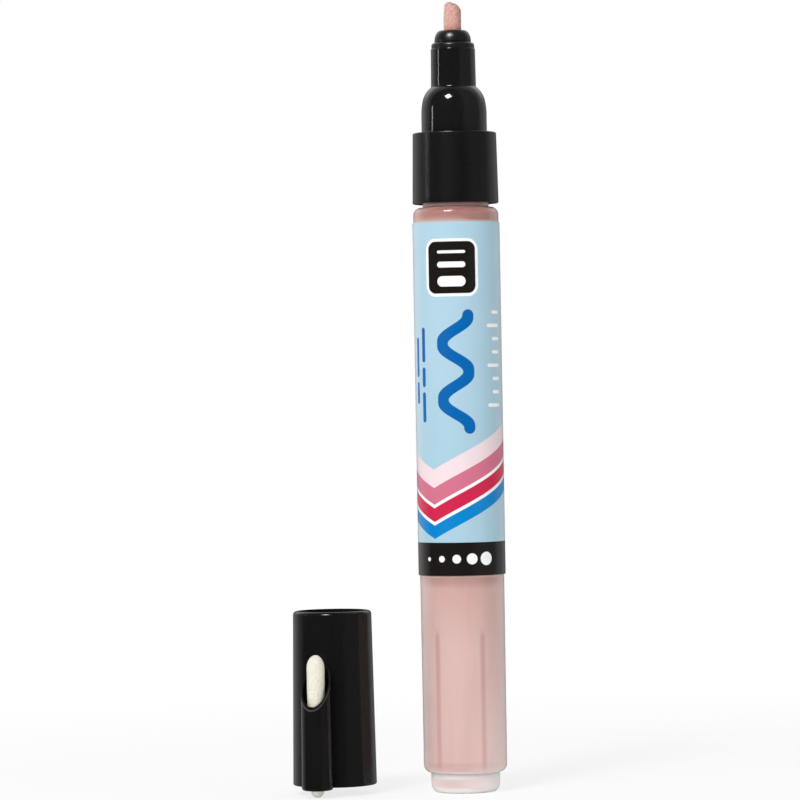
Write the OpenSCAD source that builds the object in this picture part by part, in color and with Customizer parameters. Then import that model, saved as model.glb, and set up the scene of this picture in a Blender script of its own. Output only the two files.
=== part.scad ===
// Valve-action paint marker, standing on its tail, with its cap off beside it.
// Millimetres, +Z up, origin at the centre of the tail's flat face, the front toward -Y.

/* [Barrel] */
// Diameter of the barrel under the label
barrel_d = 14.86; // [14:0.02:17]
// Length of the barrel from its rear edge to its shoulder
barrel_len = 98.4; // [80:0.1:130]
// Bore of the paint chamber
bore_d = 10; // [8.8:0.1:10.8]
// How far the bare rear part stands in from the label panel, on the radius
rear_step = 0.1; // [0.05:0.01:0.3]
// Radius that the bare rear part loses toward its rear edge
rear_taper = 0.07; // [0.02:0.01:0.3]
// Rounding of the rear edge
rear_edge_r = 1.35; // [0.5:0.05:1.4]
// Rounding of the shoulder
shoulder_r = 1.3; // [0.5:0.05:1.4]
// Length of the neck above the shoulder
neck_len = 9.7; // [8:0.1:12]
// Depth of the relief at the foot of the neck
relief_depth = 0.77; // [0.3:0.01:0.8]
// Height of that relief
relief_h = 1.2; // [0.6:0.1:1.6]
// Radius that the relief gains toward its upper end
relief_flare = 0.1; // [0.05:0.01:0.2]
// Height of the snap bead over the shoulder
bead_at = 4.7; // [3:0.1:6]
// How far the snap bead stands out of the neck
bead_out = 0.18; // [0.1:0.01:0.25]
// Width of the snap bead at its foot
bead_w = 1.2; // [0.8:0.1:1.6]

/* [Inner ribs] */
// Ribs in the rear of the chamber
rib_count = 4; // [3:1:6]
// Length of a rib above the tail plug
rib_len = 22; // [10:0.5:40]
// Width of a rib
rib_w = 0.8; // [0.5:0.1:1.2]
// How far a rib stands into the chamber
rib_h = 0.9; // [0.5:0.1:1.4]
// Turn of the first rib from the front toward +X
rib_turn = 32.5; // [0:0.5:90]

/* [Label] */
// Thickness of the label's film
label_t = 0.15; // [0.1:0.01:0.3]
// Height of the label's lower edge over the barrel's rear edge
label_from = 34.45; // [20:0.05:50]
// Bare barrel between the label and the shoulder
label_below = 2.7; // [1.6:0.1:8]

/* [Tail plug] */
// Diameter of the post that the pen stands on
tail_d = 12; // [11:0.1:13]
// Height of that post
tail_h = 3.4; // [2:0.1:6]
// Width of the rounding at the post's foot
tail_edge_w = 1.1; // [0.4:0.1:1.6]
// Height of that rounding
tail_edge_h = 1.7; // [0.4:0.1:1.9]
// How far the plug reaches into the bore
plug_len = 2.6; // [1.6:0.1:6]
// Diameter of the ball's pocket in the plug
pocket_d = 3.2; // [2:0.1:4.5]
// Depth of that pocket
pocket_h = 3; // [1:0.1:4]

/* [Collar] */
// How far the neck stands in from the barrel for the collar's wall, on the radius
collar_wall = 0.93; // [0.8:0.01:1.2]
// How far the collar's lower edge stands out past the barrel, on the radius
collar_proud = 0.08; // [0.02:0.01:0.2]
// Radius that the collar loses from its lower to its upper edge
collar_taper = 0.22; // [0.05:0.01:0.35]
// Open joint between the shoulder and the collar
collar_gap = 0.65; // [0.2:0.05:1]
// Thickness of the collar's inward lip
collar_lip = 1.2; // [0.8:0.1:2]
// How far that lip snaps into the nose, on the radius
lip_bite = 0.3; // [0.15:0.01:0.4]
// Rounding of the collar's edges
collar_edge_r = 0.25; // [0.1:0.05:0.5]

/* [Nose] */
// Diameter of the seat that the cap slides over
seat_d = 11.4; // [10.6:0.1:12.2]
// Length of that seat above the collar
seat_len = 3.24; // [2:0.02:5]
// Radius of the slow curve that eases the seat into the dome
ease_r = 11.2; // [6:0.1:16]
// Angle that this curve turns through
ease_turn = 12; // [6:1:14]
// Radius of the dome above that
dome_r = 4.1; // [3.4:0.1:4.8]
// Diameter of the straight nose at the dome
nose_d = 7.86; // [7.4:0.02:8.6]
// Radius that the nose loses toward its tip
nose_taper = 0.07; // [0:0.01:0.15]
// Length of the straight nose
nose_len = 6.82; // [5:0.02:10]
// How far the fillet at the nose's root spreads over the dome
nose_root = 0.12; // [0.06:0.02:0.2]
// Rounding of the nose's top edge
nose_edge_r = 0.2; // [0.1:0.05:0.3]
// Wall of the nose round its cavity
nose_wall = 1.2; // [0.8:0.1:1.6]
// Thickness of the flange that the collar holds
nose_flange_t = 0.8; // [0.6:0.1:1.5]

/* [Nib bush] */
// Diameter of the bush's lower flange
bush_flange_d = 7.5; // [7:0.05:7.7]
// Height of that flange
bush_flange_h = 1; // [0.6:0.1:1.5]
// Diameter of the ring at its foot
bush_ring_d = 6.4; // [6:0.05:6.8]
// Height of the ring
bush_ring_h = 2.15; // [1.6:0.05:3]
// How far the ring's round crown draws in, on the radius
bush_crown = 1.1; // [0.6:0.05:1.2]
// Groove between the ring and the flange
bush_groove = 0.18; // [0.1:0.02:0.3]
// Wall of the bush round the nib
bush_wall = 1; // [0.8:0.05:1.2]
// Length of the bush's stem in the nose
bush_stem = 6.5; // [4:0.1:6.8]

/* [Nib] */
// Diameter of a nib
nib_d = 3.1; // [2.6:0.05:3.4]
// Length of a nib
nib_len = 24.6; // [22:0.1:27]
// How far the fitted nib stands out of its bush
nib_out = 5.05; // [4:0.05:6]
// Length of an unused nib's rounded point
nib_point = 2.25; // [1.2:0.05:3.5]
// Diameter of the feed end
feed_d = 2.25; // [1.6:0.05:2.4]
// Length of the feed end
feed_len = 2.3; // [2.1:0.05:3]
// Length of the cone above the feed end
feed_cone = 0.5; // [0.3:0.05:0.8]
// Radius of the worn tip
wear_r = 2.3; // [1.9:0.05:4]
// How far the worn tip leans off the nib's axis, toward -X
wear_shift = 0.6; // [0:0.05:0.8]
// Chamfer left on the worn tip
wear_edge = 0.35; // [0.1:0.05:0.6]

/* [Valve] */
// Thickness of the gasket on the barrel's rim
gasket_t = 0.5; // [0.3:0.05:1]
// Thickness of the valve housing's flange
housing_flange_t = 0.8; // [0.6:0.1:1.5]
// Bore of the spring chamber
spring_bore_d = 6.2; // [5.8:0.1:7]
// Height of the spring as fitted
spring_len = 9.2; // [7:0.1:12]
// Mean diameter of the spring
spring_d = 4.4; // [4:0.1:4.8]
// Diameter of the spring's wire
wire_d = 0.4; // [0.3:0.05:0.5]
// Turns of the spring
spring_turns = 7; // [5:1:8]
// Thickness of the seat's wall
seat_t = 3; // [2:0.1:4]
// Diameter of the paint hole in the seat
hole_d = 3.4; // [3:0.1:4]
// Diameter of the stem's shaft
shaft_d = 2.2; // [1.8:0.1:2.4]
// Diameter of the stem's head
head_d = 5; // [4.4:0.1:5.6]
// Height of the head's rim
head_h = 1; // [0.5:0.1:2]
// How far the seat's mouth stands out past the head, on the radius
seat_margin = 0.2; // [0.1:0.05:0.4]
// Diameter of the plate that the spring presses on
plate_d = 5.6; // [5.2:0.1:5.8]
// Thickness of that plate
plate_t = 0.8; // [0.5:0.1:1.2]
// Depth of the stem's cup round the nib's foot
cup_depth = 2.9; // [2:0.1:4]
// Wall of the cup
cup_wall = 0.7; // [0.5:0.05:0.9]
// Thickness of the cup's floor over the plate
cup_floor = 1; // [0.6:0.1:2]
// Width of the feed slots in the cup
slot_w = 0.8; // [0.5:0.1:1.2]

/* [Mixing ball] */
// Diameter of the steel ball
ball_d = 6; // [5:0.1:7]

/* [Cap] */
// Length of the cap
cap_len = 30.3; // [28:0.1:36]
// Radius that the cap loses from its rim to its closed end
cap_taper = 0.45; // [0.1:0.01:0.7]
// Rounding of the rim
cap_rim_r = 0.25; // [0.1:0.05:0.4]
// Rounding of the closed end
cap_end_r = 0.65; // [0.2:0.05:0.8]
// Length of the mouth that slides over the nose's seat
mouth_len = 6; // [4:0.1:8]
// Step from the mouth to the middle of the bore, on the radius
mouth_step = 0.2; // [0.1:0.05:0.4]
// Step from there to the liner's seat, on the radius
liner_step = 0.15; // [0.1:0.05:0.3]
// Depth of the recess in the closed end
recess_h = 1; // [0.4:0.1:1.5]
// Width of the rim round that recess
recess_rim = 1; // [0.6:0.1:2]
// Thickness of the cap's roof
roof_t = 1.1; // [0.8:0.1:2]
// Distance from the pen's axis to the axis of the cap standing beside it
cap_apart = 22.8; // [20:0.1:60]

/* [Side tube] */
// Diameter of the tube for the spare nib, at its foot
tube_d = 5.44; // [5:0.02:6.5]
// Draft of the tube's outside
tube_draft = 0.4; // [0.2:0.1:2]
// Clear space between the cap's rim and the spare nib
tube_clear = 0.24; // [0.1:0.02:0.6]
// Turn of the tube from the front toward -X
tube_turn = 18.5; // [0:0.1:60]
// Height of the lowest point of the tube's slanted mouth
tube_lip = 13.65; // [8:0.05:16]
// Slope of that mouth
tube_slope = 58; // [35:0.1:62]
// Rounding of the tube's foot
tube_edge_r = 0.5; // [0.2:0.05:0.8]
// How far the tube's foot reaches below the cap's rim
tube_drop = 0.22; // [0:0.02:0.4]
// Height up to which the tube grips the nib
tube_grip = 4.5; // [2:0.1:7]
// Wall of the tube at its mouth
tube_wall = 0.38; // [0.3:0.01:0.6]
// How far the spare nib's feed end stands out of the tube
spare_out = 1.28; // [0.8:0.02:1.6]
// Height of that end over the floor that the pen stands on
spare_clear = 0.1; // [0.05:0.01:0.3]

/* [Inner cap] */
// Wall of the liner
liner_wall = 0.75; // [0.5:0.05:0.9]
// Distance from the dome to the liner's mouth when the cap is on
liner_lead = 1.75; // [0.5:0.05:3]
// Room over the nib when the cap is on
liner_room = 1.1; // [0.5:0.1:2]
// Thickness of the liner's end wall
liner_end_t = 0.8; // [0.5:0.1:1.2]
// Length of the band that is pressed into the cap
liner_band = 7; // [5:0.1:9]

/* [Fits] */
// Clearance of pieces that slide
slide_fit = 0.05; // [0.02:0.01:0.1]
// Clearance of pieces that are pressed or glued
press_fit = 0.02; // [0:0.01:0.03]

/* [Hidden] */
$fn = 96;

// Steps in a rounded edge, in the dome and in a nib's point
EDGE_STEPS = 6;
DOME_STEPS = 16;
POINT_STEPS = 10;
// Corners of the spring's wire and rings in one of its turns
WIRE_SIDES = 6;
TURN_RINGS = 8;
// Reach of a cutting tool past the face that it cuts
OVER = 1;

barrel_r = barrel_d / 2;
bore_r = bore_d / 2;
neck_r = barrel_r - collar_wall;
relief_r = neck_r - relief_depth;
nib_r = nib_d / 2;
nib_hole_r = nib_r + slide_fit;
feed_r = feed_d / 2;
ball_r = ball_d / 2;

// Dome: a slow curve out of the seat, a round shoulder, then a fillet into the straight nose
nose_seat_r = seat_d / 2;
nose_r = nose_d / 2;
ease_in = ease_r * (1 - cos(ease_turn));
root_at = nose_r + nose_root;
dome_turn = acos(cos(ease_turn) - (nose_seat_r - ease_in - root_at) / dome_r);
root_r = nose_root / (1 - cos(dome_turn));
dome_h = ease_r * sin(ease_turn) + dome_r * (sin(dome_turn) - sin(ease_turn));

// Levels, from the tail up
rear_z = tail_h;
plug_top = rear_z + plug_len;
label_z = rear_z + label_from;
shoulder_z = rear_z + barrel_len;
label_top = shoulder_z - label_below;
rim_z = shoulder_z + neck_len;
housing_z = rim_z + gasket_t;
flange_z = housing_z + housing_flange_t;
lip_z = flange_z + nose_flange_t;
collar_top = lip_z + collar_lip;
dome_z = collar_top + seat_len;
nose_z = dome_z + dome_h;
bush_z = nose_z + nose_len;
ring_z = bush_z + bush_flange_h;
bush_top = ring_z + bush_ring_h;
nib_top = bush_top + nib_out;
nib_foot = nib_top - nib_len;
cup_z = nib_foot - press_fit;
plate_top = cup_z - cup_floor;
plate_z = plate_top - plate_t;
seat_top = plate_z - spring_len;
seat_z = seat_top - seat_t;

// Front section
collar_bore_r = neck_r + slide_fit;
collar_foot_r = barrel_r + collar_proud;
collar_top_r = collar_foot_r - collar_taper;
nose_lip_r = nose_seat_r - lip_bite;
bush_stem_r = nib_hole_r + bush_wall;
cavity_r = nose_seat_r - nose_wall;
head_r = head_d / 2;
seat_mouth_r = head_r + seat_margin;

// Cap, with heights from its rim
cap_rim_z = spare_out + tube_drop + spare_clear;
cap_rim_r0 = collar_top_r;
cap_end_r0 = cap_rim_r0 - cap_taper;
mouth_r = nose_seat_r + slide_fit;
cap_mid_r = mouth_r - mouth_step;
cap_liner_r = cap_mid_r - liner_step;
roof_z = cap_len - recess_h - roof_t;
liner_r = nose_r + slide_fit;
liner_mouth = seat_len + dome_h + liner_lead;
liner_end = nib_top - collar_top + liner_room;
tube_r = tube_d / 2;
tube_at = cap_rim_r0 + tube_clear + nib_r;
tube_out = tube_at + tube_r;

// Points of an arc about c, from angle a0 to a1
function arc(c, r, a0, a1, n = EDGE_STEPS) =
    [for (i = [0 : n]) c + r * [cos(a0 + (a1 - a0) * i / n), sin(a0 + (a1 - a0) * i / n)]];

// Quarter of an ellipse from (r0 + a, z) to (r0, z + h)
function quarter(r0, a, z, h, n) =
    [for (i = [0 : n]) [r0 + a * cos(90 * i / n), z + h * sin(90 * i / n)]];

// Quarter of an ellipse from (r0, 0) out and up to (r0 + a, h)
function foot_round(r0, a, h) =
    [for (i = [0 : EDGE_STEPS]) [r0 + a * sin(90 * i / EDGE_STEPS), h - h * cos(90 * i / EDGE_STEPS)]];

// Profile of the snap bead, or of its groove, on a wall of radius r
function bead(r, out) = [
    [r - out, shoulder_z + bead_at - bead_w / 2],
    [r, shoulder_z + bead_at - bead_w / 2],
    [r + out, shoulder_z + bead_at],
    [r, shoulder_z + bead_at + bead_w / 2],
    [r - out, shoulder_z + bead_at + bead_w / 2],
];

module ring(r0, r1, z0, z1) {
    translate([0, 0, z0]) difference() {
        cylinder(h = z1 - z0, r = r1);
        translate([0, 0, -OVER]) cylinder(h = z1 - z0 + 2 * OVER, r = r0);
    }
}

module revolve(points) {
    rotate_extrude() polygon(points);
}

module barrel_shell() {
    rear_r = barrel_r - rear_step;
    foot_r = rear_r - rear_taper;
    revolve(concat(
        [[bore_r, rear_z]],
        arc([foot_r - rear_edge_r, rear_z + rear_edge_r], rear_edge_r, -90, 0),
        [[rear_r, label_z], [barrel_r, label_z]],
        arc([barrel_r - shoulder_r, shoulder_z - shoulder_r], shoulder_r, 0, 90),
        [
            [relief_r, shoulder_z],
            [relief_r + relief_flare, shoulder_z + relief_h],
            [neck_r, shoulder_z + relief_h + relief_depth - relief_flare],
            [neck_r, rim_z],
            [bore_r, rim_z],
        ]
    ));
}

module barrel_ribs() {
    for (i = [0 : rib_count - 1])
        rotate(rib_turn - 90 + i * 360 / rib_count)
            translate([bore_r - rib_h, -rib_w / 2, plug_top])
                cube([rib_h + OVER, rib_w, rib_len]);
}

module barrel() {
    color([0.88, 0.74, 0.72]) union() {
        barrel_shell();
        barrel_ribs();
        revolve(bead(neck_r, bead_out));
    }
}

module label() {
    color([0.69, 0.84, 0.9])
        ring(barrel_r + press_fit, barrel_r + press_fit + label_t, label_z, label_top);
}

module tail_plug() {
    tail_r = tail_d / 2;
    color([0.9, 0.84, 0.83]) difference() {
        revolve(concat(
            [[0, 0]],
            foot_round(tail_r - tail_edge_w, tail_edge_w, tail_edge_h),
            [
                [tail_r, rear_z],
                [bore_r - press_fit, rear_z],
                [bore_r - press_fit, plug_top],
                [0, plug_top],
            ]
        ));
        translate([0, 0, plug_top - pocket_h]) cylinder(h = pocket_h + OVER, d = pocket_d);
    }
}

module collar() {
    foot_z = shoulder_z + collar_gap;
    hole_r = nose_lip_r + press_fit;
    color([0.1, 0.1, 0.1]) difference() {
        revolve(concat(
            [[collar_bore_r, foot_z]],
            arc([collar_foot_r - collar_edge_r, foot_z + collar_edge_r], collar_edge_r, -90, 0),
            arc([collar_top_r - collar_edge_r, collar_top - collar_edge_r], collar_edge_r, 0, 90),
            [[hole_r, collar_top], [hole_r, lip_z], [collar_bore_r, lip_z]]
        ));
        revolve(bead(collar_bore_r, bead_out));
    }
}

module nose() {
    tip_r = nose_r - nose_taper;
    flange_r = collar_bore_r - slide_fit;
    throat_r = bush_stem_r + press_fit;
    throat_z = nose_z - nose_wall;
    color([0.06, 0.06, 0.06]) difference() {
        revolve(concat(
            [[0, flange_z], [flange_r, flange_z], [flange_r, lip_z], [nose_lip_r, lip_z]],
            [[nose_lip_r, collar_top], [nose_seat_r, collar_top]],
            arc([nose_seat_r - ease_r, dome_z], ease_r, 0, ease_turn),
            arc([root_at - dome_r * cos(dome_turn), nose_z - dome_r * sin(dome_turn)], dome_r, ease_turn, dome_turn, DOME_STEPS),
            arc([root_at + root_r * cos(dome_turn), nose_z + root_r * sin(dome_turn)], root_r, 180 + dome_turn, 180),
            arc([tip_r - nose_edge_r, bush_z - nose_edge_r], nose_edge_r, 0, 90),
            [[0, bush_z]]
        ));
        revolve([
            [0, flange_z - OVER],
            [cavity_r, flange_z - OVER],
            [cavity_r, dome_z],
            [throat_r, throat_z],
            [throat_r, bush_z + OVER],
            [0, bush_z + OVER],
        ]);
    }
}

module nib_bush() {
    flange_r = bush_flange_d / 2;
    ring_r = bush_ring_d / 2;
    groove_r = ring_r - bush_groove;
    crown_z = ring_z + bush_groove;
    flange_edge = bush_flange_h / 2;
    color([0.08, 0.08, 0.08]) difference() {
        revolve(concat(
            [[0, bush_z - bush_stem], [bush_stem_r, bush_z - bush_stem], [bush_stem_r, bush_z]],
            [[flange_r, bush_z]],
            arc([flange_r - flange_edge, ring_z - flange_edge], flange_edge, 0, 90),
            [[groove_r, ring_z], [groove_r, crown_z]],
            quarter(ring_r - bush_crown, bush_crown, crown_z, bush_top - crown_z, POINT_STEPS),
            [[0, bush_top]]
        ));
        translate([0, 0, bush_z - bush_stem - OVER])
            cylinder(h = bush_stem + bush_flange_h + bush_ring_h + 2 * OVER, r = nib_hole_r);
    }
}

// Feed end of a nib, foot at z = 0, as the lower points of its profile
function feed_points() = concat(
    arc([0, feed_r], feed_r, -90, 0, POINT_STEPS),
    [[feed_r, feed_len], [nib_r, feed_len + feed_cone]]
);

// A nib's rod, cut square at height h
module nib_rod(h) {
    revolve(concat(feed_points(), [[nib_r, h], [0, h]]));
}

module nib() {
    color([0.86, 0.66, 0.61]) translate([0, 0, nib_foot]) intersection() {
        nib_rod(nib_len);
        union() {
            cylinder(h = nib_len - wear_edge, r = nib_d);
            translate([0, 0, nib_len - wear_edge])
                cylinder(h = wear_edge, r1 = nib_r, r2 = nib_r - wear_edge);
        }
        union() {
            cylinder(h = nib_len - wear_r, r = nib_d);
            translate([-wear_shift, 0, nib_len - wear_r]) sphere(r = wear_r);
        }
    }
}

module neck_seal() {
    color([0.2, 0.2, 0.2]) ring(bore_r, neck_r, rim_z, housing_z);
}

module valve_housing() {
    body_r = bore_r - slide_fit;
    chamber_r = spring_bore_d / 2;
    hole_r = hole_d / 2;
    color([0.93, 0.93, 0.9]) revolve([
        [seat_mouth_r, seat_z],
        [body_r, seat_z],
        [body_r, housing_z],
        [neck_r, housing_z],
        [neck_r, flange_z],
        [chamber_r, flange_z],
        [chamber_r, seat_top],
        [hole_r, seat_top],
        [hole_r, seat_z + seat_mouth_r - hole_r],
    ]);
}

module valve_stem() {
    shaft_r = shaft_d / 2;
    // Level at which the head's cone would reach the axis, just under the seat's cone
    cone_z = seat_z + seat_mouth_r - slide_fit;
    cup_r = nib_hole_r + cup_wall;
    color([0.9, 0.9, 0.88]) difference() {
        revolve([
            [0, cone_z - head_r - head_h],
            [head_r - head_h / 2, cone_z - head_r - head_h],
            [head_r, cone_z - head_r - head_h / 2],
            [head_r, cone_z - head_r],
            [shaft_r, cone_z - shaft_r],
            [shaft_r, plate_z],
            [plate_d / 2, plate_z],
            [plate_d / 2, plate_top],
            [cup_r, plate_top],
            [cup_r, cup_z + cup_depth],
            [0, cup_z + cup_depth],
        ]);
        translate([0, 0, cup_z]) cylinder(h = cup_depth + OVER, r = nib_hole_r);
        for (turn = [0, 90])
            rotate(turn) translate([-plate_d / 2, -slot_w / 2, cup_z])
                cube([plate_d, slot_w, cup_depth + OVER]);
    }
}

// Centre of the spring's wire at ring i, from its lower end
spring_rings = spring_turns * TURN_RINGS;
spring_rise = spring_len - wire_d - 2 * press_fit;
function wire_at(i) = [
    spring_d / 2 * cos(360 * i / TURN_RINGS),
    spring_d / 2 * sin(360 * i / TURN_RINGS),
    seat_top + press_fit + wire_d / 2 + spring_rise * i / spring_rings,
];
function wire_corner(i, k) =
    let (out = [cos(360 * i / TURN_RINGS), sin(360 * i / TURN_RINGS), 0])
    wire_at(i) + wire_d / 2 * (cos(360 * k / WIRE_SIDES) * out + [0, 0, sin(360 * k / WIRE_SIDES)]);

// Least gap between neighbouring turns, from the wire's own points
spring_gap = min([
    for (i = [0 : spring_rings])
        for (j = [i + TURN_RINGS / 2 : 1 : spring_rings])
            norm(wire_at(i) - wire_at(j))
]) - wire_d;

module valve_spring() {
    echo(spring_gap = spring_gap);
    points = [
        for (i = [0 : spring_rings])
            for (k = [0 : WIRE_SIDES - 1])
                wire_corner(i, k)
    ];
    sides = [
        for (i = [0 : spring_rings - 1])
            for (k = [0 : WIRE_SIDES - 1])
                let (
                    a = i * WIRE_SIDES + k,
                    b = i * WIRE_SIDES + (k + 1) % WIRE_SIDES,
                    c = a + WIRE_SIDES,
                    d = b + WIRE_SIDES
                )
                each [[a, b, d], [a, d, c]]
    ];
    last = spring_rings * WIRE_SIDES;
    ends = [
        for (k = [1 : WIRE_SIDES - 2])
            each [[0, k + 1, k], [last, last + k, last + k + 1]]
    ];
    color([0.75, 0.76, 0.78]) polyhedron(points, concat(sides, ends));
}

module mixing_ball() {
    sit = sqrt(ball_r * ball_r - pocket_d * pocket_d / 4);
    color([0.72, 0.73, 0.75]) translate([0, 0, plug_top + sit + press_fit]) sphere(r = ball_r);
}

// Places what belongs to the cap where it stands, with heights from its rim
module at_cap() {
    translate([-cap_apart, 0, cap_rim_z]) children();
}

// Turns what belongs to the side tube from +X to its place on the cap
module at_tube() {
    rotate(-90 - tube_turn) children();
}

module cap_body() {
    revolve(concat(
        [[0, 0]],
        arc([cap_rim_r0 - cap_rim_r, cap_rim_r], cap_rim_r, -90, 0),
        arc([cap_end_r0 - cap_end_r, cap_len - cap_end_r], cap_end_r, 0, 90),
        [[0, cap_len]]
    ));
}

module cap_bore() {
    revolve([
        [0, -OVER],
        [mouth_r, -OVER],
        [mouth_r, mouth_len],
        [cap_mid_r, mouth_len + mouth_step],
        [cap_mid_r, roof_z - liner_band - liner_step],
        [cap_liner_r, roof_z - liner_band],
        [cap_liner_r, roof_z],
        [0, roof_z],
    ]);
}

module side_tube() {
    rise = tan(tube_slope);
    draft = tan(tube_draft);
    top = tube_lip + tube_d * rise;
    lip_at = tube_out - tube_lip * draft;
    difference() {
        translate([tube_at, 0, 0]) revolve(concat(
            [[0, -tube_drop]],
            arc([tube_r - tube_edge_r, tube_edge_r - tube_drop], tube_edge_r, -90, 0),
            [[tube_r - top * draft, top], [0, top]]
        ));
        rotate([90, 0, 0]) linear_extrude(height = tube_d + 2 * OVER, center = true) polygon([
            [tube_out + OVER, tube_lip - (tube_out + OVER - lip_at) * rise],
            [tube_out + OVER, top + OVER],
            [lip_at - (top + OVER - tube_lip) / rise, top + OVER],
        ]);
    }
}

// Hole of the tube, with the ledge that the nib's cone stops on
module tube_hole() {
    ledge = feed_len - spare_out - tube_drop - slide_fit;
    room_r = tube_r - tube_lip * tan(tube_draft) - tube_wall;
    room_top = tube_lip + (tube_out - cap_rim_r0) * tan(tube_slope);
    translate([tube_at, 0, 0]) revolve([
        [0, -OVER],
        [feed_r + slide_fit, -OVER],
        [feed_r + slide_fit, ledge],
        [nib_hole_r, ledge + feed_cone],
        [nib_hole_r, tube_grip],
        [room_r, tube_grip + room_r - nib_hole_r],
        [room_r, room_top],
        [nib_hole_r, nib_len],
        [0, nib_len],
    ]);
}

module cap() {
    color([0.05, 0.05, 0.05]) at_cap() difference() {
        union() {
            cap_body();
            at_tube() side_tube();
        }
        cap_bore();
        at_tube() tube_hole();
        translate([0, 0, cap_len - recess_h])
            cylinder(h = recess_h + OVER, r = cap_end_r0 - recess_rim);
    }
}

module inner_cap() {
    band_r = cap_liner_r - press_fit;
    skirt_r = liner_r + liner_wall;
    band_z = roof_z - liner_band;
    color([0.85, 0.85, 0.83]) at_cap() revolve([
        [liner_r, liner_mouth],
        [skirt_r, liner_mouth],
        [skirt_r, band_z],
        [band_r, band_z],
        [band_r, roof_z],
        [band_r - liner_wall, roof_z],
        [band_r - liner_wall, liner_end + liner_end_t],
        [0, liner_end + liner_end_t],
        [0, liner_end],
        [liner_r, liner_end],
    ]);
}

module spare_nib() {
    straight = nib_len - nib_point;
    color([0.94, 0.93, 0.87]) at_cap() at_tube() translate([tube_at, 0, -spare_out - tube_drop]) revolve(
        concat(feed_points(), quarter(0, nib_r, straight, nib_point, POINT_STEPS))
    );
}

barrel();
label();
tail_plug();
collar();
nose();
nib_bush();
nib();
neck_seal();
valve_housing();
valve_stem();
valve_spring();
mixing_ball();
cap();
inner_cap();
spare_nib();
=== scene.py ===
"""Dresses a felt-tip paint marker and its loose cap in Blender.

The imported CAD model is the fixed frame. Each sub-assembly below is a class that makes the
pieces that need a finer surface than the CAD nodes and gives every piece its finish. Lengths
are in metres, apart from label motifs, which are in millimetres. A turn is in degrees from
the front, -Y, toward +X. A span gives the values at which something starts to show and shows
fully, and a pair of spans gives where it comes in and where it goes again.
"""

import logging
import math
from dataclasses import dataclass
from enum import Enum

import bpy
from bpy.types import Material, Node, NodeTree, Object
from bpy.types import NodeSocket as Socket, bpy_prop_collection as Sockets
from mathutils import Euler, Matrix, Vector


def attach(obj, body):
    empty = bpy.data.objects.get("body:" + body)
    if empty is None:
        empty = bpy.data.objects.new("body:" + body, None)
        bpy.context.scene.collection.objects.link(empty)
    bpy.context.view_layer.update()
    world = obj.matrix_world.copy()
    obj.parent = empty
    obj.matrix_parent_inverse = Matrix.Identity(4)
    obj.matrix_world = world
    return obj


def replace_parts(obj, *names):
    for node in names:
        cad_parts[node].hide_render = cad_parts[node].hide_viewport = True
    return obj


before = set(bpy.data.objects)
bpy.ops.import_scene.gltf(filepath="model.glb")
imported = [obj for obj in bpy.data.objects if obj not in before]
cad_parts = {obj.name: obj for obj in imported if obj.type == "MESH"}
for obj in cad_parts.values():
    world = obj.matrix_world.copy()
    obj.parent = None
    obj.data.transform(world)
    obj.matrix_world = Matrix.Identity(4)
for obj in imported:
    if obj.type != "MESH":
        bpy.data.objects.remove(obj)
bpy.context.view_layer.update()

LOG = logging.getLogger("felt_tip_pen")
MM = 0.001
LABEL_R = 7.6 * MM

Rgba = tuple[float, float, float, float]
Place = tuple[float, float, float]
Span = tuple[float, float]
Spans = tuple[Span, Span]
Value = Socket | float | tuple[float, ...]

WHITE: Rgba = (1.0, 1.0, 1.0, 1.0)


def paint(*levels: int) -> Rgba:
    """Turns a colour as a screen shows it into the linear colour that shaders take.

    Args:
        levels: Its red, green and blue, 0 to 255.

    Returns:
        The linear colour with full alpha.
    """
    def linear(level: int) -> float:
        """Gives one channel's linear value by the sRGB curve."""
        part = level / 255
        return part / 12.92 if part <= 0.04045 else ((part + 0.055) / 1.055) ** 2.4

    return (*(linear(level) for level in levels), 1.0)


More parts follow.
